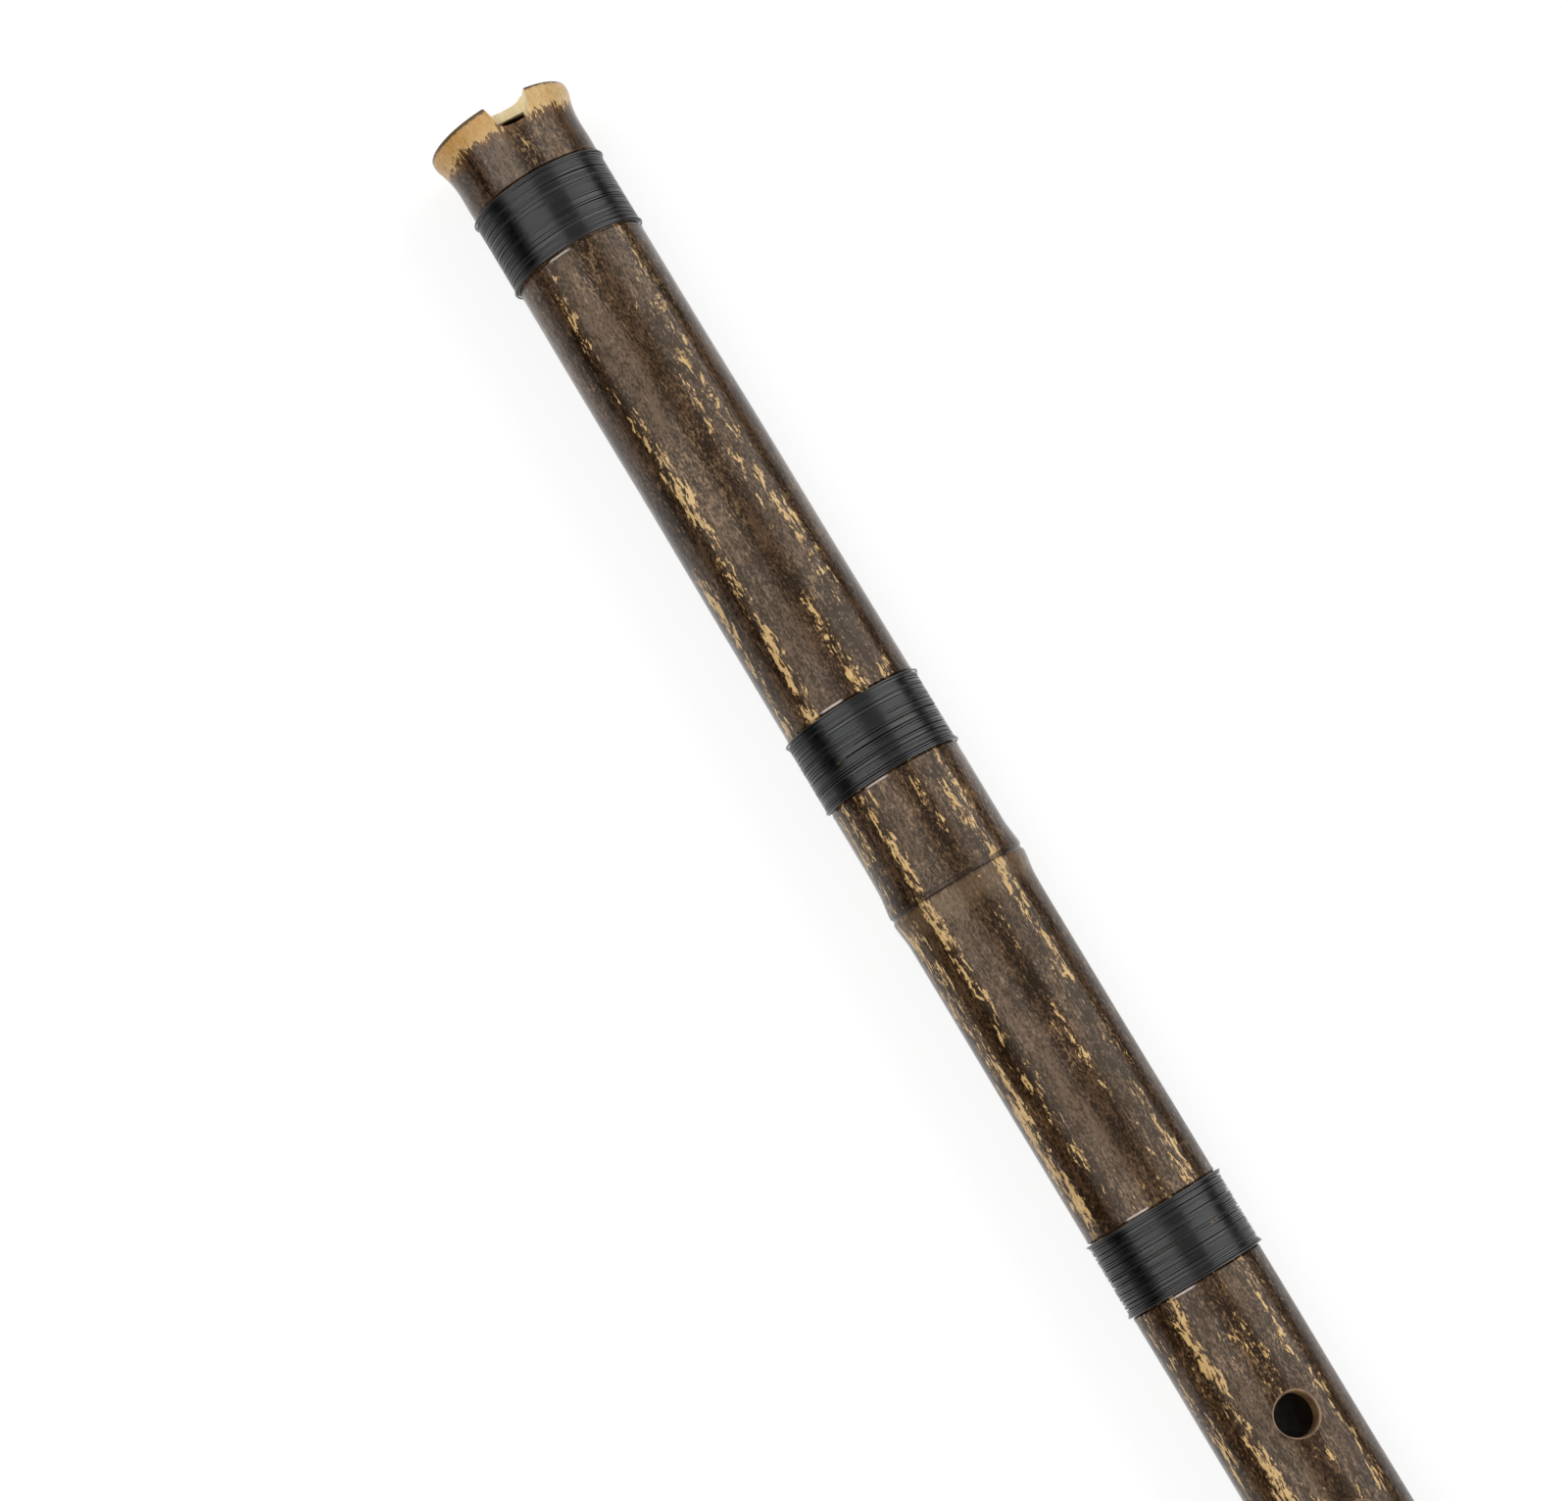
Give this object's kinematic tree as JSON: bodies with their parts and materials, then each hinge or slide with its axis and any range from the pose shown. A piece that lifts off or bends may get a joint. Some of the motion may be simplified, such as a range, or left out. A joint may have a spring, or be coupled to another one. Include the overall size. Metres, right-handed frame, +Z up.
{
  "type": "xiao",
  "caption": "End-blown bamboo flute with a blowing notch cut into its flared, closed mouth end, finger holes, a thumb hole and black thread bindings.",
  "frame": {"origin": "on the surface that the flute lies on, under the middle of its length and width", "axes": "+X along the flute to its mouth end, +Z up through the blowing notch and the front finger holes, +Y to the left as seen from the foot end"},
  "size_m": [0.72, 0.0286, 0.0286],
  "materials": {
    "lacquered_bamboo": "mottled dark brown bamboo with golden patches and pale golden ends, under clear gloss lacquer",
    "binding_thread": "black waxed thread with a soft sheen"
  },
  "bodies": {
    "root": {"bamboo_body": "lacquered_bamboo", "binding_mouth": "binding_thread", "binding_upper": "binding_thread", "binding_above_thumb_hole": "binding_thread", "binding_between_hands": "binding_thread", "binding_below_holes": "binding_thread", "binding_foot": "binding_thread"}
  },
  "joints": []
}
